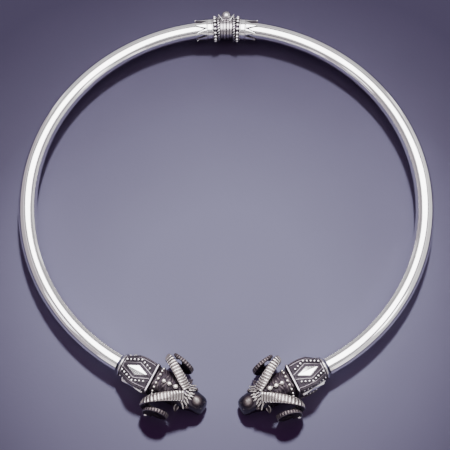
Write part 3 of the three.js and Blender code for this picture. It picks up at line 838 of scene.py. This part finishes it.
def head_body(form):
    """The skull, with faint wavy wool on the neck, a mouth line, nostrils and a painted highlight on the
    bridge of the nose.
    """
    turn = turns(HEAD_SIDES)[None, :]
    at, aside, up = (value.copy() for value in head_skin(HEAD_PLACES[:, None], turn))
    neck = np.clip((WOOL_TO - at) / WOOL_FADE, 0, 1)
    wool = wave(turn, at, WOOL_ROUND) * wave(at, turn, WOOL_ALONG)
    swell = 1 + WOOL_RISE * neck * wool
    mouth = MOUTH_DEEP * bump(up - MOUTH_UP - MOUTH_SLOPE * (HEAD_PLACES[-1] - at), MOUTH_WIDE)
    mouth = mouth * np.clip((at - MOUTH_FROM) / MOUTH_FADE, 0, 1)
    nose = bump(np.hypot(at - NOSTRIL_AT, NOSTRIL_NARROW * (np.abs(aside) - NOSTRIL_ASIDE)), NOSTRIL_REACH)
    nose *= np.clip(up / NOSTRIL_FADE + NOSTRIL_LEVEL, 0, 1)
    cheek = CHEEK_RISE * bump(np.hypot(at - CHEEK_AT, up + CHEEK_DOWN), CHEEK_REACH)
    middle = ((up.max(1) + up.min(1)) / 2)[:, None]
    height = middle + (up - middle) * (swell + cheek) - NOSTRIL_DOWN * nose
    rings = np.stack([at - NOSTRIL_IN * nose, aside * (swell - mouth + cheek), height], -1)
    # painted highlight on the bridge of the nose
    bridge = bump(np.hypot(at - BRIDGE_AT, BRIDGE_ASIDE * aside), BRIDGE_REACH) * (up > middle)
    wear_and_shading = neck * (WOOL_WORN + WOOL_LIT * np.clip(wool, 0, 1) ** 2) + BRIDGE_HIGHLIGHT * bridge**2
    form.loft(rest(rings), wear_and_shading)


def head_up(at, aside):
    """Height of the head's skin over a point beside its middle line."""
    width, middle, height = (float(value[0]) for value in head_section([at]))
    share = min(abs(aside) / width, SKIN_LIMIT)
    return middle + height * math.sqrt(1 - share * share)


def neck_beads(form):
    """A row of beads spaced evenly round the neck, and larger ones along the crown."""
    dense = np.linspace(-NECK_ROW_SPREAD, NECK_ROW_SPREAD, NECK_ROW_SAMPLES)
    around = np.stack(head_skin(NECK_ROW_AT, dense), -1)
    run = np.concatenate([[0], np.cumsum(np.linalg.norm(np.diff(around, axis=0), axis=1))])
    for share in np.linspace(-1, 1, NECK_ROW_COUNT):
        turn = float(np.interp((share + 1) / 2 * run[-1], run, dense))
        radius = NECK_ROW_RADIUS * (1 - NECK_ROW_SHRINK * abs(share))
        facing = np.array([NECK_ROW_TILT, math.sin(turn), math.cos(turn)])
        place = NECK_ROW_AT + NECK_ROW_LEAN * min(0, share)
        centre = np.array([float(value) for value in head_skin(place, turn)])
        form.ball(centre + NECK_ROW_RISE * facing, radius, facing)
    for at, radius in CROWN_BEADS:
        centre = np.array([at, 0, head_up(at, 0) + CROWN_RISE * radius])
        form.ball(centre, radius, CROWN_FACING, CROWN_SIDES, dark=CROWN_DARK)


def horn_reach(turn):
    """Distance of a horn's middle line from the middle of its coil."""
    base = HORN_COIL + HORN_ROOT_REACH * np.exp(-(turn - HORN_START) / HORN_ROOT_FADE)
    return base * (1 - HORN_SHRINK * (turn - HORN_START) / (HORN_END - HORN_START))


def horn_line(turn, flank):
    """Middle line of a horn: it coils back from the forehead, down and round, and drifts outwards."""
    first = np.minimum(turn, np.pi)
    back = HORN_APEX_AT - (HORN_CENTRE_AT + horn_reach(first) * np.cos(first))
    t = np.clip((turn - 2 * np.pi) / (HORN_END - 2 * np.pi), 0, 1)
    aside = HORN_ROOT_ASIDE + HORN_SPLAY * back + HORN_TIP_ASIDE * t * t * (3 - 2 * t)
    reach = horn_reach(turn)
    return np.stack([HORN_CENTRE_AT + reach * np.cos(turn), flank * aside,
                     HORN_CENTRE_UP + reach * np.sin(turn)], -1)


def horn(form, flank):
    """A ribbed horn with a broad crowned band outside and plainer flanks in painted shade, ending in a
    small ball.
    """
    turn = np.linspace(HORN_START, HORN_END, HORN_STEPS)
    middle = horn_line(turn, flank)
    ahead = unit(horn_line(turn + HORN_NUDGE, flank) - horn_line(turn - HORN_NUDGE, flank))
    outward = np.stack([np.cos(turn), 0 * turn, np.sin(turn)], -1)
    across = unit(np.cross(ahead, outward))
    normal = unit(np.cross(across, ahead))
    share = (turn - HORN_START) / (HORN_END - HORN_START)
    taper = share**HORN_TAPER
    run = np.concatenate([[0], np.cumsum(np.linalg.norm(np.diff(middle, axis=0), axis=1))])
    pitch = np.interp(run / run[-1], HORN_PITCH_AT, HORN_PITCH)
    phase = np.concatenate([[0], np.cumsum(np.diff(run) / pitch[1:])])
    off_bar = np.abs(phase % 1 - 0.5) * pitch
    bar = np.sqrt(np.clip(1 - (off_bar / HORN_BAR_HALF) ** 2, 0, 1))[:, None]
    width = (HORN_BASE[0] + (HORN_TIP[0] - HORN_BASE[0]) * taper)[:, None]
    thick = (HORN_BASE[1] + (HORN_TIP[1] - HORN_BASE[1]) * taper)[:, None]
    cos, sin = circle(HORN_SIDES)
    x = 0.5 * squared(cos, HORN_SQUARE) * (1 - HORN_INNER_NARROW * (sin < 0))
    y = 0.5 * squared(sin, HORN_FLATNESS)
    on_band = (sin > HORN_BAND_FROM) & (np.abs(cos) < HORN_RAIL_FROM)
    on_rail = (sin > HORN_BAND_FROM) & (np.abs(cos) >= HORN_RAIL_FROM)
    lift = y * thick - HORN_GROOVE * thick * on_band * (1 - bar)
    rings = middle[:, None] + across[:, None] * (x * width)[..., None] + normal[:, None] * lift[..., None]
    # painted shade over the band of the last coil
    last_coil = np.clip((turn - HORN_LAST_COIL_SHADE_FROM) / HORN_LAST_COIL_SHADE_RUN, 0, 1)[:, None]
    band_worn = (HORN_GROOVE_WORN + HORN_BAR_WORN * bar) * (1 - HORN_LAST_COIL_SHADE * last_coil)
    # the flanks get painted shade
    wear_and_shading = np.where(on_band, band_worn, np.where(on_rail, HORN_RAIL_WORN, HORN_FLANK_SHADE))
    form.loft(rest(rings), wear_and_shading)
    form.ball(horn_line(HORN_END, flank), HORN_BALL, sides=18)


def coil_shade_sheet(form, flank):
    """A sheet of painted shade inside the coil, from the horn's middle line to the middle of the coil."""
    turn = np.linspace(WEB_START, HORN_END, WEB_STEPS)
    edge = horn_line(turn, flank)
    centre = edge.copy()
    centre[:, 0] = HORN_CENTRE_AT
    centre[:, 2] = HORN_CENTRE_UP
    hub = centre + (edge - centre) * WEB_HUB
    shift = np.array([0, WEB_THICK / 2, 0])
    rings = np.stack([edge + shift, edge - shift, hub - shift, hub + shift], 1)
    form.loft(rest(rings), WEB_SHADE)


LOCK_STEPS = 12
LOCK_SIDES = 8
LOCK_CURL = 0.45
LOCK_FLAT = 0.8
LOCK_POINT = 0.75
LOCK_ROOT = 0.75
LOCK_BELLY = 0.9
LOCK_LEAST = 0.02
LOCK_WORN = 0.05
LOCK_LIT = 0.75
LOCK_TOP_LIT = 0.8
LOCK_TIP_LIT = 0.5
LOCK_SHADE = 0.15


def lock(form, root, heading, normal, length, radius):
    """A pointed lock of wool that rises from its root and curls over, brightest on top near its tip."""
    heading, normal = unit(heading), unit(normal)
    across = np.cross(heading, normal)
    share = np.linspace(0, 1, LOCK_STEPS)
    lean = LOCK_CURL * share
    step = length / (LOCK_STEPS - 1)
    path = [np.zeros(3)]
    for angle in lean[1:]:
        path.append(path[-1] + step * (math.cos(angle) * heading + math.sin(angle) * normal))
    cos, sin = (value[:, None] for value in circle(LOCK_SIDES))
    rings = []
    for t, angle, offset in zip(share, lean, path):
        rise = math.cos(angle) * normal - math.sin(angle) * heading
        size = radius * (1 - t) ** LOCK_POINT * (LOCK_ROOT + LOCK_BELLY * t) + LOCK_LEAST
        rings.append(root + offset + size * (cos * across + LOCK_FLAT * sin * rise))
    lit = np.clip(sin.T * LOCK_TOP_LIT + share[:, None] * LOCK_TIP_LIT - LOCK_SHADE, 0, 1)
    form.loft(rest(np.array(rings)), LOCK_WORN + LOCK_LIT * lit)


# count, place along the head, half width, sag at the sides, half spread in degrees, length, radius
FRINGE_ROWS = [
    (9, 25.1, 3.3, 0.7, 42, 1.6, 0.46),
    (8, 24.45, 3.0, 0.6, 38, 1.5, 0.46),
    (6, 23.75, 2.2, 0.4, 32, 1.4, 0.45),
]
FRINGE_SINK = 0.12
FRINGE_STEP = 0.13
FRINGE_SWAY = 0.16
FRINGE_SWAY_RATE = 2.4
FRINGE_TILT = 0.3
FRINGE_SPLAY = 0.8
FRINGE_SIDE_LEAN = 0.3
FRINGE_DROP = 0.4
FRINGE_SIDE_DROP = 0.1


def fringe(form):
    """Rows of pointed locks across the forehead, between the horns and the face."""
    for row, (count, place, half_width, sag, spread, length, radius) in enumerate(FRINGE_ROWS):
        for i in range(count):
            share = 2 * i / (count - 1) - 1
            at = place - sag * share * share
            aside = half_width * share
            up = head_up(at, aside) - FRINGE_SINK + FRINGE_STEP * row
            turn = math.radians(spread) * share + FRINGE_SWAY * math.sin(FRINGE_SWAY_RATE * i + row)
            normal = np.array([FRINGE_TILT, FRINGE_SPLAY * share, 1 - FRINGE_SIDE_LEAN * abs(share)])
            drop = FRINGE_DROP + FRINGE_SIDE_DROP * abs(share)
            heading = np.array([math.cos(turn), math.sin(turn), -drop])
            normal = normal - heading * np.dot(normal, heading) / np.dot(heading, heading)
            lock(form, np.array([at, aside, up]), heading, normal, length, radius)


EAR_AT = 22.9
EAR_UP = 1.9
EAR_LENGTH = 3.0
EAR_HALF_WIDTH = 0.85
EAR_DROOP = math.radians(48)
EAR_LEAN = math.radians(35)
EAR_HOLLOW = 0.3
EAR_THICK = 0.26
EAR_INSET = 0.55
EAR_CURVE = 0.35
EAR_ROOT_WIDE = 0.35
EAR_FULLNESS = 0.7
EAR_POINT = 0.93
EAR_WORN = 0.15
EAR_RIM_HIGHLIGHT = 0.65
EAR_STEPS = 20
EAR_SIDES = 24
EYE_AT = 25.9
EYE_UP = 1.5
EYE_RADIUS = 0.6
EYE_INSET = 0.28
EYE_FACING = (0.35, 1, 0.45)
EYE_SIDES = 20
EYE_BRIGHT = 0.3
LID_LONG = 1.2
LID_TALL = 0.75
LID_OUT = 0.25
LID_THIN = 0.1
LID_HEAVIER = 0.06
LID_STATIONS = 28
LID_SIDES = 8
LID_WORN = 0.3


def ear(form, flank):
    """A drooping leaf-shaped ear with a hollow front and a painted highlight along its rim."""
    width = float(head_section([EAR_AT])[0][0])
    root = np.array([EAR_AT, flank * (width - EAR_INSET), EAR_UP])
    heading = np.array([0, flank * math.cos(EAR_DROOP), -math.sin(EAR_DROOP)])
    flat_normal = np.array([0, flank * math.sin(EAR_DROOP), math.cos(EAR_DROOP)])
    normal = math.cos(EAR_LEAN) * flat_normal + math.sin(EAR_LEAN) * np.array([1.0, 0, 0])
    across = np.cross(heading, normal)
    cos, sin = circle(EAR_SIDES)
    rings = []
    for t in np.linspace(0, 1, EAR_STEPS):
        leaf = EAR_ROOT_WIDE + (1 - EAR_ROOT_WIDE) * math.sin(math.pi * t) ** EAR_FULLNESS
        half = EAR_HALF_WIDTH * leaf * (1 - EAR_POINT * t**4)
        hollow = EAR_HOLLOW * np.clip(sin, 0, 1) * (1 - np.abs(cos) ** 4)
        hollow = hollow * math.sin(math.pi * min(t + 0.1, 1))
        lift = EAR_THICK * sin - hollow
        centre = root + heading * (EAR_LENGTH * t) + normal * (EAR_CURVE * t * t)
        rings.append(centre + half * cos[:, None] * across + lift[:, None] * normal)
    # painted highlight along the ear's rim
    wear_and_shading = EAR_WORN + EAR_RIM_HIGHLIGHT * np.abs(cos) ** 3
    form.loft(rest(np.array(rings)), wear_and_shading[None, :])


def eye(form, flank):
    """An eyeball between a heavy upper lid and a thin lower one."""
    width = float(head_section([EYE_AT])[0][0])
    centre = np.array([EYE_AT, flank * (width - EYE_INSET), EYE_UP])
    facing = unit(np.array(EYE_FACING) * (1, flank, 1))
    form.ball(centre, EYE_RADIUS, facing, EYE_SIDES, most=EYE_BRIGHT)
    across = unit(np.cross(facing, [0, 0, 1]))
    rise = np.cross(across, facing)
    major, minor = turns(LID_STATIONS)[:, None], turns(LID_SIDES)
    thick = LID_THIN + LID_HEAVIER * np.clip(np.sin(major) * np.sign(rise[2]), 0, 1)
    radial = np.cos(major)[..., None] * across * LID_LONG + np.sin(major)[..., None] * rise * LID_TALL
    ring = centre + EYE_RADIUS * radial + LID_OUT * facing
    round_wire = np.cos(minor)[..., None] * unit(radial) + np.sin(minor)[..., None] * facing
    form.torus(ring + thick[..., None] * round_wire, LID_WORN)


def ram_head(label):
    """The ram's head of one half, cast as one with its horns, ears and wool."""
    local = Form()
    head_body(local)
    neck_beads(local)
    fringe(local)
    for flank in (1, -1):
        horn(local, flank)
        coil_shade_sheet(local, flank)
        ear(local, flank)
        eye(local, flank)
    return placed(local, label)


# Materials

class Shading:
    """A material with short ways to add the nodes that drive its shader."""

    def __init__(self, name):
        self.material = bpy.data.materials.new(name)
        self.material.use_nodes = True
        self.nodes = self.material.node_tree.nodes
        self.inputs = self.nodes["Principled BSDF"].inputs

    def link(self, source, socket):
        self.material.node_tree.links.new(source, socket)

    def place(self):
        """Place in the object's own space."""
        return self.nodes.new("ShaderNodeTexCoord").outputs["Object"]

    def noise(self, scale, detail, roughness=0.5):
        """Noise in the object's own space."""
        texture = self.nodes.new("ShaderNodeTexNoise")
        texture.inputs["Scale"].default_value = scale
        texture.inputs["Detail"].default_value = detail
        texture.inputs["Roughness"].default_value = roughness
        self.link(self.place(), texture.inputs["Vector"])
        return texture.outputs["Fac"]

    def ramp(self, target, value, stops):
        """Drives an input by a ramp over a value; a stop is a position and a colour or a grey."""
        node = self.nodes.new("ShaderNodeValToRGB")
        elements = node.color_ramp.elements
        while len(elements) < len(stops):
            elements.new(0.5)
        for element, (position, colour) in zip(elements, stops):
            element.position = position
            element.color = (*colour, 1) if isinstance(colour, tuple) else (colour, colour, colour, 1)
        self.link(value, node.inputs["Fac"])
        self.link(node.outputs["Color"], self.inputs[target])

    def combine(self, operation, *values, clamp=False):
        """Arithmetic on sockets and plain values."""
        node = self.nodes.new("ShaderNodeMath")
        node.operation = operation
        node.use_clamp = clamp
        for socket, value in zip(node.inputs, values):
            if isinstance(value, (int, float)):
                socket.default_value = value
            else:
                self.link(value, socket)
        return node.outputs["Value"]

    def relief(self, *layers):
        """Drives the normal by layers of bumps: the height, the strength and the depth in metres."""
        normal = None
        for height, strength, depth in layers:
            node = self.nodes.new("ShaderNodeBump")
            node.inputs["Strength"].default_value = strength
            node.inputs["Distance"].default_value = depth
            self.link(height, node.inputs["Height"])
            if normal:
                self.link(normal, node.inputs["Normal"])
            normal = node.outputs["Normal"]
        self.link(normal, self.inputs["Normal"])


def polished_silver():
    """Mirror silver with faint tarnish clouds, hairline scratches and a slightly uneven surface."""
    silver = Shading("polished_silver")
    silver.inputs["Metallic"].default_value = 1
    clouds = silver.noise(scale=90, detail=4)
    silver.ramp("Base Color", clouds, [(0.3, (0.86, 0.83, 0.85)), (0.6, (0.95, 0.94, 0.95))])
    fine = silver.noise(scale=900, detail=6, roughness=0.7)
    silver.ramp("Roughness", silver.combine("MULTIPLY", fine, clouds), [(0.15, 0.05), (0.45, 0.14)])
    silver.relief((silver.noise(scale=55, detail=2), 0.06, 0.0004), (fine, 0.04, 0.00002))
    return silver.material


def wear_and_shading_silver(name, smooth, ground, warm, bright, polished, gloss):
    """Silver by its wear and shading value, real wear with painted shade and highlights: smooth and dark
    at 0, dull oxidised ground just above, bright at 1.
    """
    silver = Shading(name)
    wear_and_shading = silver.nodes.new("ShaderNodeAttribute")
    wear_and_shading.attribute_name = "wear_and_shading"
    patches = silver.noise(scale=420, detail=5, roughness=0.65)
    spread = silver.combine("MULTIPLY_ADD", patches, 0.5, 0.75)
    level = silver.combine("MULTIPLY", wear_and_shading.outputs["Fac"], spread, clamp=True)
    silver.ramp("Base Color", level, [(0.0, smooth), (0.07, ground), (0.4, warm), (0.75, bright),
                                      (0.97, polished)])
    silver.ramp("Metallic", level, [(0.0, 1.0), (0.07, 0.0), (0.14, 0.0), (0.4, 0.85), (0.6, 1.0)])
    silver.ramp("Roughness", level, [(0.0, 0.24), (0.07, 0.45), (0.75, 0.22), (0.97, 0.1)])
    silver.inputs["Specular IOR Level"].default_value = gloss
    dents = silver.noise(scale=500, detail=3)
    grain = silver.noise(scale=2600, detail=4, roughness=0.6)
    silver.relief((dents, 0.2, 0.0001), (grain, 0.2, 0.00004))
    return silver.material


FLOOR_LIGHT_POOL = (0, -0.031, 0)
FLOOR_LIGHT_POOL_REACH = 0.16
FLOOR_LIGHT_POOL_TONES = [
    (0.0, (0.47, 0.47, 0.68)), (0.2, (0.44, 0.44, 0.64)), (0.42, (0.31, 0.30, 0.45)),
    (0.58, (0.18, 0.165, 0.26)), (0.8, (0.11, 0.095, 0.17)),
]


def floor_material():
    """A matt lilac-grey surface with a painted pool of light, palest between the middle of the ring and
    the heads and darker further out.
    """
    matt = Shading("pale_floor")
    reach = matt.nodes.new("ShaderNodeVectorMath")
    reach.operation = "DISTANCE"
    matt.link(matt.place(), reach.inputs[0])
    reach.inputs[1].default_value = FLOOR_LIGHT_POOL
    share = matt.combine("DIVIDE", reach.outputs["Value"], FLOOR_LIGHT_POOL_REACH)
    mottle = matt.combine("MULTIPLY_ADD", matt.noise(scale=14, detail=3), 0.08, -0.04)
    # the painted pool of light falls off with distance from its middle
    matt.ramp("Base Color", matt.combine("ADD", share, mottle, clamp=True), FLOOR_LIGHT_POOL_TONES)
    matt.inputs["Roughness"].default_value = 1
    matt.inputs["Specular IOR Level"].default_value = 0
    matt.relief((matt.noise(scale=700, detail=5, roughness=0.7), 0.15, 0.0002))
    return matt.material


# Stage

FLOOR_HALF = 3.0
WORLD_COLOUR = (0.40, 0.17, 0.42, 1)
WORLD_STRENGTH = 0.1


def floor():
    """A plain flat floor under the ring."""
    mesh = bpy.data.meshes.new("floor")
    corners = [(x * FLOOR_HALF, y * FLOOR_HALF, 0) for x, y in ((-1, -1), (1, -1), (1, 1), (-1, 1))]
    mesh.from_pydata(corners, [], [(0, 1, 2, 3)])
    mesh.materials.append(floor_material())
    stage = bpy.data.objects.new("floor", mesh)
    bpy.context.scene.collection.objects.link(stage)


def area_light(name, place, aim, size, radiance, colour=(1, 1, 1), glossy=True, diffuse=True):
    """A soft panel of light; places are millimetres from the ring's middle."""
    light = bpy.data.lights.new(name, "AREA")
    light.shape = "RECTANGLE"
    light.size, light.size_y = size[0] * MM, size[1] * MM
    light.energy = radiance * math.pi * light.size * light.size_y
    light.color = colour
    lamp = bpy.data.objects.new(name, light)
    bpy.context.scene.collection.objects.link(lamp)
    lamp.location = (Vector(place) + Vector(RING_CENTRE)) * MM
    direction = Vector(aim) - Vector(place)
    lamp.rotation_euler = direction.to_track_quat("-Z", "Y").to_euler()
    lamp.visible_camera = False
    lamp.visible_glossy = glossy
    lamp.visible_diffuse = diffuse


def lights():
    """Panels that only the metal mirrors, and a key from behind the ring with a weak purple fill.

    The mirrored ones are a softbox overhead, a dim ceiling, cards on four sides and two glints.
    """
    area_light("softbox", (16, 40, 335), aim=(16, 40, 0), size=(412, 330), radiance=9.0, diffuse=False)
    area_light("ceiling", (0, 0, 345), aim=(0, 0, 0), size=(900, 900), radiance=0.55, diffuse=False)
    area_light("card_left", (-190, 0, 72), aim=(0, 0, 72), size=(460, 150), radiance=0.55,
               colour=(1.0, 0.93, 0.97), diffuse=False)
    area_light("card_right", (190, 0, 72), aim=(0, 0, 72), size=(460, 150), radiance=1.0, diffuse=False)
    area_light("card_back", (0, 230, 90), aim=(0, 0, 90), size=(460, 190), radiance=0.7, diffuse=False)
    area_light("card_front", (0, -190, 60), aim=(0, 0, 60), size=(420, 120), radiance=0.9,
               colour=(1.0, 0.96, 0.95), diffuse=False)
    for name, side, radiance in (("glint_right", 1, 5.0), ("glint_left", -1, 3.0)):
        area_light(name, (186 * side, -70, 118), aim=(-10 * side, -65, 0), size=(60, 50),
                   radiance=radiance, diffuse=False)
    area_light("fill", (0, 60, 500), aim=(0, 0, 0), size=(500, 500), radiance=0.09,
               colour=(1.0, 0.08, 0.75), glossy=False)
    area_light("key", (120, 1050, 1480), aim=(0, -10, 0), size=(190, 190), radiance=225.0, glossy=False)
    world = bpy.data.worlds.new("studio")
    bpy.context.scene.world = world
    world.use_nodes = True
    background = world.node_tree.nodes["Background"]
    background.inputs["Color"].default_value = WORLD_COLOUR
    background.inputs["Strength"].default_value = WORLD_STRENGTH


CAMERA_AIM = (-0.435, -9.28, 0)
CAMERA_DISTANCE = 469.0
CAMERA_LIFT = math.radians(66.5)
SENSOR = 36.0
# focal length over the sensor's width
FOCAL_SHARE = 1400 / 450


def camera():
    """The camera above the front of the ring, aimed between its middle and the heads."""
    data = bpy.data.cameras.new("camera")
    data.sensor_width = SENSOR
    data.lens = SENSOR * FOCAL_SHARE
    data.clip_start = 0.01
    view = bpy.data.objects.new("camera", data)
    bpy.context.scene.collection.objects.link(view)
    aim = Vector(CAMERA_AIM)
    away = Vector((0, -math.cos(CAMERA_LIFT), math.sin(CAMERA_LIFT))) * CAMERA_DISTANCE
    view.location = (aim + away + Vector(RING_CENTRE)) * MM
    view.rotation_euler = (-away).to_track_quat("-Z", "Y").to_euler()
    bpy.context.scene.camera = view


# Assembly

mirror = polished_silver()
worked = wear_and_shading_silver(
    "worked_silver", smooth=(0.022, 0.016, 0.026), ground=(0.030, 0.017, 0.036),
    warm=(0.22, 0.19, 0.22), bright=(0.62, 0.59, 0.61), polished=(0.95, 0.94, 0.95), gloss=0.14,
)
aged = wear_and_shading_silver(
    "darkened_silver", smooth=(0.085, 0.074, 0.092), ground=(0.030, 0.014, 0.034),
    warm=(0.22, 0.185, 0.185), bright=(0.66, 0.62, 0.60), polished=(0.84, 0.81, 0.78), gloss=0.2,
)

for label, side in SIDES.items():
    body = f"{label}_half"
    piece(f"hoop_{label}_skin", hoop(side, SWEEP[label]), mirror, body, f"hoop_{label}")
    piece(f"hinge_collar_{label}_skin", hinge_collar(label), worked, body, f"hinge_collar_{label}")
    piece(f"terminal_collar_{label}_skin", terminal_collar(label), worked, body,
          f"terminal_collar_{label}")
    piece(f"ram_head_{label}_skin", ram_head(label), aged, body, f"ram_head_{label}")
piece("hinge_pin_skin", hinge_pin(), worked, "left_half", "hinge_pin")

floor()
lights()
camera()
